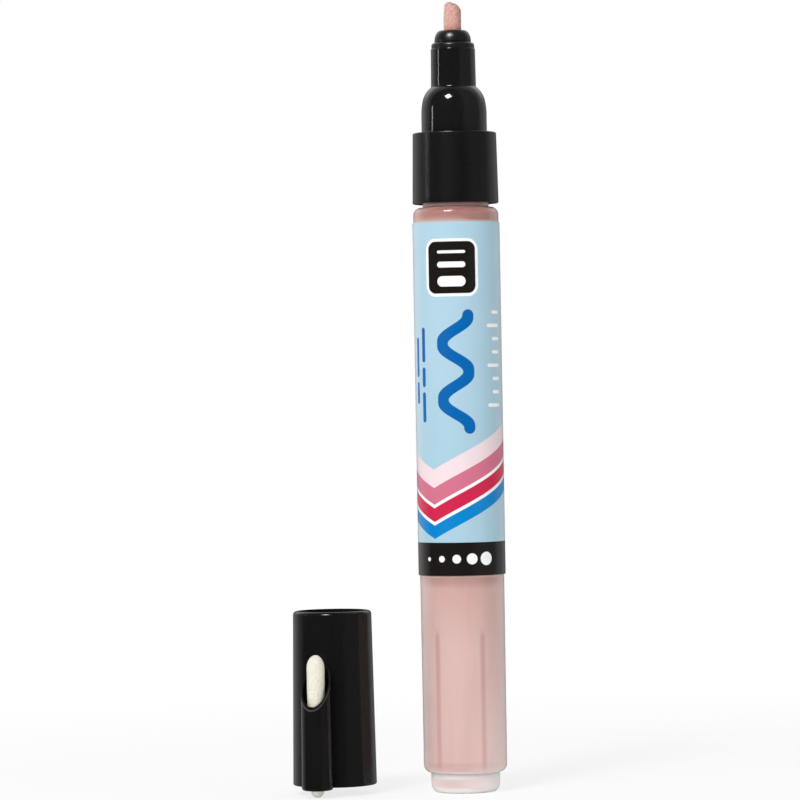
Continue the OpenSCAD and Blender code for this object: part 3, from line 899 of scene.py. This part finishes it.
class Bench:
    """Hand tools for meshes, on Blender's own operators."""

    merge_below = 0.0004 * MM

    @staticmethod
    def clear() -> None:
        """Leaves edit mode and deselects everything."""
        if bpy.context.object and bpy.context.object.mode != "OBJECT":
            bpy.ops.object.mode_set(mode="OBJECT")
        bpy.ops.object.select_all(action="DESELECT")

    @classmethod
    def copy_of(cls, node: str, name: str) -> Object:
        """Copies a CAD node as a closed mesh that can be worked on.

        Args:
            node: The CAD node.
            name: The new piece's name.

        Returns:
            The copy, selected and active.
        """
        cls.clear()
        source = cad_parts[node]
        piece = bpy.data.objects.new(name, source.data.copy())
        bpy.context.scene.collection.objects.link(piece)
        piece.data.materials.clear()
        piece.select_set(True)
        bpy.context.view_layer.objects.active = piece
        bpy.ops.mesh.customdata_custom_splitnormals_clear()
        bpy.ops.object.mode_set(mode="EDIT")
        bpy.ops.mesh.select_all(action="SELECT")
        bpy.ops.mesh.remove_doubles(threshold=cls.merge_below)
        bpy.ops.object.mode_set(mode="OBJECT")
        return piece

    @staticmethod
    def apply(piece: Object, kind: str, name: str, **settings: object) -> None:
        """Adds a modifier to the active piece and applies it.

        Args:
            piece: The piece.
            kind: Blender's name of the modifier type.
            name: The modifier's name.
            settings: Properties to set on it.
        """
        modifier = piece.modifiers.new(name, kind)
        for key, value in settings.items():
            setattr(modifier, key, value)
        bpy.ops.object.modifier_apply(modifier=modifier.name)

    @classmethod
    def smooth(cls, piece: Object, crease: float) -> None:
        """Shades the active piece smoothly across edges flatter than a crease, in degrees."""
        bpy.ops.object.shade_smooth_by_angle(angle=math.radians(crease))
        cls.apply(piece, "WEIGHTED_NORMAL", "even_normals",
                  keep_sharp=True, weight=60, mode="FACE_AREA")

    @staticmethod
    def dress(piece: Object, finish: Finish) -> None:
        """Puts a finish on a piece in place of what it had."""
        piece.data.materials.clear()
        piece.data.materials.append(finish.make())

    @classmethod
    def keep(cls, node: str, finish: Finish) -> None:
        """Puts a finish on a CAD node that keeps its shape."""
        cls.dress(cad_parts[node], finish)
        LOG.info("%s keeps its CAD shape", node)


@dataclass
class StandIn:
    """A piece that is made from a CAD node and shown in its place."""

    node: str
    body: str
    slot: str
    finish: Finish

    def seat(self, piece: Object) -> None:
        """Dresses the made piece and seats it on its body in place of its CAD node.

        Args:
            piece: The made piece.
        """
        Bench.dress(piece, self.finish)
        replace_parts(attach(piece, self.body), self.node)
        LOG.info("%s stands for %s on %s", piece.name, self.node, self.body)


@dataclass
class MouldedShell(StandIn):
    """A moulded piece with even normals, creased at edges over the given angle in degrees."""

    crease: float = 32.0

    def build(self) -> None:
        """Copies the node, evens its normals and seats it."""
        piece = Bench.copy_of(self.node, self.node + "_moulding")
        Bench.smooth(piece, self.crease)
        self.seat(piece)


@dataclass
class FeltNib(StandIn):
    """A felt nib with its lumps and worn point.

    A dent is its place across the nib, its depth and its width. The lean is how far the -X
    side of the point comes in.
    """

    voxel: float = 0.09 * MM
    lump: float = 0.05 * MM
    lump_size: float = 0.45 * MM
    lump_level: float = 0.8
    radius: float = 1.5 * MM
    worn_from: float = 0.0
    dents: tuple[Place, ...] = ()
    lean: float = 0.0

    def build(self) -> None:
        """Remeshes a copy of the node, lumps its skin, wears its point and seats it."""
        piece = Bench.copy_of(self.node, self.node + "_felt")
        Bench.apply(piece, "REMESH", "even_mesh", mode="VOXEL", voxel_size=self.voxel)
        cloud = bpy.data.textures.new(self.node + "_lumps", "CLOUDS")
        cloud.noise_scale = self.lump_size
        cloud.noise_depth = 2
        Bench.apply(piece, "DISPLACE", "lumps", texture=cloud, texture_coords="LOCAL",
                    strength=self.lump, mid_level=self.lump_level)
        if self.dents:
            top = max(vertex.co.z for vertex in piece.data.vertices)
            for vertex in piece.data.vertices:
                share = max(0.0, (vertex.co.z - self.worn_from) / (top - self.worn_from))
                for across, depth, width in self.dents:
                    bell = math.exp(-(((vertex.co.x - across) / width) ** 2))
                    vertex.co.z -= share * share * depth * bell
                vertex.co.x += share * self.lean * max(0.0, -vertex.co.x / self.radius)
        bpy.ops.object.shade_smooth()
        self.seat(piece)


@dataclass
class LabelSeam:
    """The strip where the label's film laps over itself, at the back."""

    radius: float = LABEL_R
    gap: float = 0.004 * MM
    lap: float = 3.2 * MM
    film: float = 0.05 * MM
    foot: float = 37.95 * MM
    top: float = 99 * MM
    sides: int = 120
    crease: float = 30.0

    def build(self) -> Object:
        """Cuts the strip out of a tube of film and gives it its thickness.

        Returns:
            The finished strip.
        """
        Bench.clear()
        bpy.ops.mesh.primitive_cylinder_add(
            vertices=self.sides, radius=self.radius + self.gap, depth=self.top - self.foot,
            end_fill_type="NOTHING", location=(0, 0, (self.foot + self.top) / 2))
        piece = bpy.context.object
        piece.name = "label_seam"
        bpy.ops.object.transform_apply()
        bpy.ops.object.mode_set(mode="EDIT")
        bpy.ops.mesh.select_mode(type="FACE")
        bpy.ops.mesh.select_all(action="DESELECT")
        bpy.ops.object.mode_set(mode="OBJECT")
        for face in piece.data.polygons:
            face.select = face.center.y < 0 or abs(face.center.x) > self.lap / 2
        bpy.ops.object.mode_set(mode="EDIT")
        bpy.ops.mesh.delete(type="FACE")
        bpy.ops.object.mode_set(mode="OBJECT")
        Bench.apply(piece, "SOLIDIFY", "film", thickness=self.film, offset=1.0)
        bpy.ops.object.shade_smooth_by_angle(angle=math.radians(self.crease))
        return piece


WHITE_MOULDING = PaleMoulding("white_moulding", paint(238, 238, 232), paint(226, 226, 219))


class PenBody:
    """The barrel, its label and the plug that it stands on."""

    def dress(self) -> None:
        """Builds and dresses the pieces of the body."""
        film = PrintedFilm()
        # The tail has painted light at its rim, foot, upper edge and right side.
        tail = PaleTail("pale_tail", paint(217, 200, 198), paint(213, 195, 192), glow=0.8, rim=0.6)
        MouldedShell("barrel", "pen", "barrel_plastic", PaintedBarrel()).build()
        MouldedShell("tail_plug", "pen", "tail_plastic", tail).build()
        Bench.keep("label", film)
        seam = LabelSeam().build()
        Bench.dress(seam, film)
        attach(seam, "pen")
        LOG.info("label_seam laps the film at the back")


class FrontEnd:
    """The collar, the nose, the nib bush and the wet nib."""

    shade: Rgba = (0.0045, 0.0045, 0.0046, 1.0)
    satin_shade: Rgba = (0.0032, 0.0032, 0.0033, 1.0)
    dents: tuple[Place, ...] = (
        (-1.5 * MM, 0.22 * MM, 0.42 * MM), (0.12 * MM, 0.22 * MM, 0.14 * MM))

    def dress(self) -> None:
        """Builds and dresses the pieces of the front."""
        satin = BlackPlastic("satin_black", self.satin_shade, roughness=0.28,
                             grain_depth=0.004 * MM, mirror=0.45)
        gloss, soft = (
            BlackPlastic(name, self.shade, roughness, grain_depth=0.001 * MM)
            for name, roughness in (("gloss_black", 0.09), ("soft_gloss_black", 0.3)))
        # The wet nib has painted light on its left and painted shade on its right.
        wet = FeltRod(
            "painted_felt", light=paint(228, 178, 167), fibre=paint(200, 146, 134),
            pit_and_side_shade=paint(138, 90, 80), root=paint(194, 128, 110),
            root_heights=(134.2 * MM, 132.4 * MM), roughness=0.62,
            fleck=(0.12 * MM, 137.32 * MM), lit_left=paint(250, 212, 203))
        MouldedShell("collar", "pen", "collar_black", satin).build()
        MouldedShell("nose", "pen", "nose_black", gloss).build()
        MouldedShell("nib_bush", "pen", "nose_black", soft).build()
        FeltNib("nib", "writing_nib", "wet_felt", wet, lump=0.08 * MM, worn_from=134.6 * MM,
                dents=self.dents, lean=0.15 * MM).build()


class Valve:
    """The pieces inside: gasket, housing, stem, spring and mixing ball."""

    def dress(self) -> None:
        """Dresses the CAD pieces of the valve, which keep their shapes."""
        gasket = Rubber("gasket_rubber", (0.03, 0.03, 0.03, 1), (0.07, 0.07, 0.07, 1))
        spring = Steel("spring_wire", (0.56, 0.57, 0.58, 1), roughness=0.22, grain_scale=5000.0)
        ball = Steel("tumbled_ball", (0.6, 0.61, 0.62, 1), roughness=0.14, grain_scale=1800.0)
        for node, finish in (
                ("neck_seal", gasket), ("valve_housing", WHITE_MOULDING),
                ("valve_stem", WHITE_MOULDING), ("valve_spring", spring), ("mixing_ball", ball)):
            Bench.keep(node, finish)


class CapSet:
    """The loose cap, its liner and the spare nib in its tube."""

    def dress(self) -> None:
        """Builds and dresses the pieces of the cap, which creases at its mouth's flat lip."""
        gloss = CapPlastic("cap_gloss", (0.0045, 0.0045, 0.0045, 1), roughness=0.12,
                           grain_depth=0.0012 * MM, mirror=0.24)
        # The dry nib's root colour is painted light on its foot, which sits in shade.
        dry = FeltRod(
            "unused_felt", light=paint(240, 237, 222), fibre=paint(231, 227, 209),
            pit_and_side_shade=paint(216, 211, 191), root=paint(255, 253, 243), root_heights=(2.4 * MM, 1.4 * MM),
            roughness=0.75)
        MouldedShell("cap", "loose_cap", "cap_black", gloss, crease=27.0).build()
        Bench.keep("inner_cap", WHITE_MOULDING)
        FeltNib("spare_nib", "reserve_nib", "dry_felt", dry, lump=0.03 * MM).build()


class LampUse(Enum):
    """What a lamp is for: its light, or its image in glossy pieces."""

    LIGHT = "light"
    GLINT = "glint"


@dataclass
class Studio:
    """Floor, world, lamps and camera."""

    eye: Place = (-10.3 * MM, -724 * MM, 68.4 * MM)
    view_angle: float = 11.01
    roll: float = -1.02
    lamp_aim: Place = (0.0, 0.0, 70 * MM)
    floor_size: Place = (3.0, 2.6, 1.0)
    floor_place: Place = (0.0, 0.7, -0.02 * MM)
    ambient: float = 0.5

    left_edge: Span = (-94.0, -99.0)
    left_turns: Span = (-97.0, -130.0)
    left_levels: Span = (0.28, 0.585)
    right_edge: Span = (96.0, 108.0)
    right_level: float = 0.26
    panel_edge: Span = (24.0, 44.0)
    panel_level: float = 0.16
    back_turns: Span = (138.0, 176.0)
    back_levels: Span = (1.0, 0.12)
    overhead_back: Span = (0.35, 0.75)
    overhead_up: Span = (0.15, 0.45)
    overhead_levels: Span = (0.03, 0.8)

    def floor(self) -> None:
        """Lays the pale floor, which the glossy pieces don't mirror."""
        Bench.clear()
        bpy.ops.mesh.primitive_plane_add(size=1, location=self.floor_place)
        plane = bpy.context.object
        plane.name = "floor"
        plane.scale = self.floor_size
        bpy.ops.object.transform_apply()
        Bench.dress(plane, FloorPaint())
        plane.visible_glossy = False
        LOG.info("floor laid")

    def _cards(self, w: Wiring) -> Socket:
        """Gives the brightness that glossy pieces mirror in each direction.

        Args:
            w: The world's wiring.

        Returns:
            The brightness: two side cards and a panel, dimmed at the back, under a top card.
        """
        x, y, z = w.axes("Generated")
        turn = w.turn(x, y)
        left = w.spread(w.fade(turn, *self.left_turns), *self.left_levels)
        left = w.times(w.fade(turn, *self.left_edge), left)
        right = w.times(w.fade(turn, *self.right_edge), self.right_level)
        panel = w.times(w.fade(turn, *self.panel_edge), self.panel_level)
        sides = w.calc("ADD", w.calc("ADD", left, right), panel)
        behind = w.fade(w.calc("ABSOLUTE", turn), *self.back_turns)
        overhead = w.times(w.fade(y, *self.overhead_back), w.fade(z, *self.overhead_up))
        overhead = w.spread(overhead, *self.overhead_levels)
        return w.calc("MULTIPLY_ADD", sides, w.spread(behind, *self.back_levels), overhead)

    def world(self) -> None:
        """Makes a white surround that is dark on the camera's side, as black cards make it."""
        scene = bpy.context.scene
        world = bpy.data.worlds.new("studio")
        scene.world = world
        world.use_nodes = True
        w = Wiring(world.node_tree)

        def surround(strength: Value) -> Socket:
            """Gives a white surround of the given strength."""
            return w.fill(w.add("Background"), WHITE, strength).outputs[0]

        path = w.add("LightPath").outputs
        mirrored = w.calc("MAXIMUM", path["Is Glossy Ray"], path["Is Transmission Ray"])
        seen = w.choose(mirrored, surround(self.ambient), surround(self._cards(w)))
        seen = w.choose(path["Is Camera Ray"], seen, surround(1.0))
        w.fill(w.add("OutputWorld"), Surface=seen)
        scene.view_settings.view_transform = "Standard"

    def lamp(self, name: str, place: Place, size: Span, use: LampUse, power: float,
             turn: float = 0.0) -> None:
        """Hangs a soft lamp that faces the middle of the pen.

        Args:
            name: The lamp's name.
            place: Where it hangs.
            size: Its width and height.
            use: Whether it lights the pieces or is mirrored by them.
            power: Its power in watts.
            turn: Degrees that its frame is turned in its own plane.
        """
        data = bpy.data.lights.new(name, "AREA")
        data.shape = "RECTANGLE"
        data.size, data.size_y = size
        data.energy = power
        lamp = bpy.data.objects.new(name, data)
        bpy.context.scene.collection.objects.link(lamp)
        lamp.location = place
        facing = (Vector(self.lamp_aim) - Vector(place)).to_track_quat("-Z", "Y").to_matrix()
        lamp.rotation_euler = (facing @ Euler((0, 0, math.radians(turn))).to_matrix()).to_euler()
        lamp.visible_glossy = use is LampUse.GLINT
        lamp.visible_diffuse = use is LampUse.LIGHT

    def camera(self) -> None:
        """Sets the camera where the photograph was taken from."""
        data = bpy.data.cameras.new("camera")
        data.sensor_width = 36.0
        data.angle = math.radians(self.view_angle)
        data.clip_start, data.clip_end = 0.05, 20.0
        camera = bpy.data.objects.new("camera", data)
        bpy.context.scene.collection.objects.link(camera)
        camera.location = self.eye
        level = Euler((math.radians(90), 0, 0)).to_matrix()
        rolled = level @ Euler((0, 0, math.radians(self.roll))).to_matrix()
        camera.rotation_euler = rolled.to_euler()
        bpy.context.scene.camera = camera

    def build(self) -> None:
        """Sets up the whole studio."""
        self.floor()
        self.world()
        light, glint = LampUse.LIGHT, LampUse.GLINT
        self.lamp("top_box", (-0.357, -0.78, 0.887), (0.35, 0.35), light, power=6.6, turn=45)
        self.lamp("top_glint", (-0.339, -0.741, 0.849), (0.33, 0.33), glint, power=12.0, turn=45)
        self.lamp("left_strip", (-0.746, -0.078, 0.222), (0.036, 0.14), glint, power=0.16)
        self.lamp("left_fill", (-0.75, -0.85, 0.35), (0.9, 0.9), light, power=3.4)
        self.lamp("right_fill", (0.8, -0.7, 0.3), (0.9, 0.9), light, power=1.3)
        self.camera()
        LOG.info("studio ready")


def main() -> None:
    """Sets up the studio, then builds the sub-assemblies in order."""
    logging.basicConfig(level=logging.INFO, format="%(name)s: %(message)s")
    Studio().build()
    for part in (PenBody(), FrontEnd(), Valve(), CapSet()):
        part.dress()


if __name__ == "__main__":
    main()
